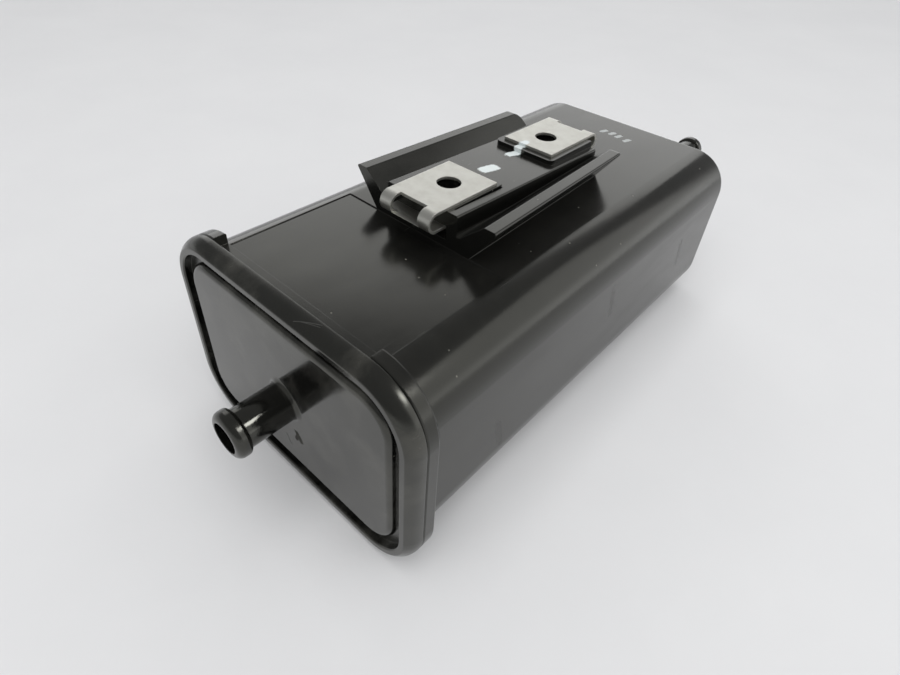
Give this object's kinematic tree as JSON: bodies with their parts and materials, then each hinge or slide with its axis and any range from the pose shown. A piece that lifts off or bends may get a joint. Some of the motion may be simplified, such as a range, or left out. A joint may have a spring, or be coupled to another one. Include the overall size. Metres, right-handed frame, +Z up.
{
  "type": "evaporative emissions canister",
  "caption": "Black plastic charcoal canister with a welded end cap, hose stubs, and a moulded bracket carrying clip nuts; stores fuel vapour until the engine draws it off.",
  "frame": {"origin": "on the plane of the flange's lowest edge, centred across the flange and midway between the stub tips", "axes": "+X to the right seen from the cap, +Y along the length from the cap to the far end, +Z up towards the bracket"},
  "size_m": [0.126, 0.2814, 0.1005],
  "materials": {
    "black_plastic": "moulded polyamide, semi-gloss, lightly scuffed",
    "cap_plastic": "moulded polyamide, semi-gloss",
    "zinc_steel": "zinc-plated sheet, dull",
    "inner_plastic": "moulded, matt",
    "spring_steel": "drawn spring wire",
    "fleece": "pressed fleece",
    "carbon": "packed granules"
  },
  "bodies": {
    "canister": {"canister_body": "black_plastic", "end_cap": "cap_plastic", "front_clip_nut": "zinc_steel", "rear_clip_nut": "zinc_steel", "left_spring": "spring_steel", "right_spring": "spring_steel", "air_side_fleece": "fleece", "carbon_bed": "carbon", "vapour_side_fleece": "fleece", "support_grid": "inner_plastic"},
    "plate": {"pressure_plate": "inner_plastic"}
  },
  "joints": [
    {"name": "pressure_plate_slide", "type": "slide", "parent": "canister", "child": "plate", "axis": [0, -1, 0], "range_m": [0, 0.005], "stiffness_N_per_m": 1500, "springref_m": -0.004, "deforming": ["left_spring", "right_spring"]}
  ]
}
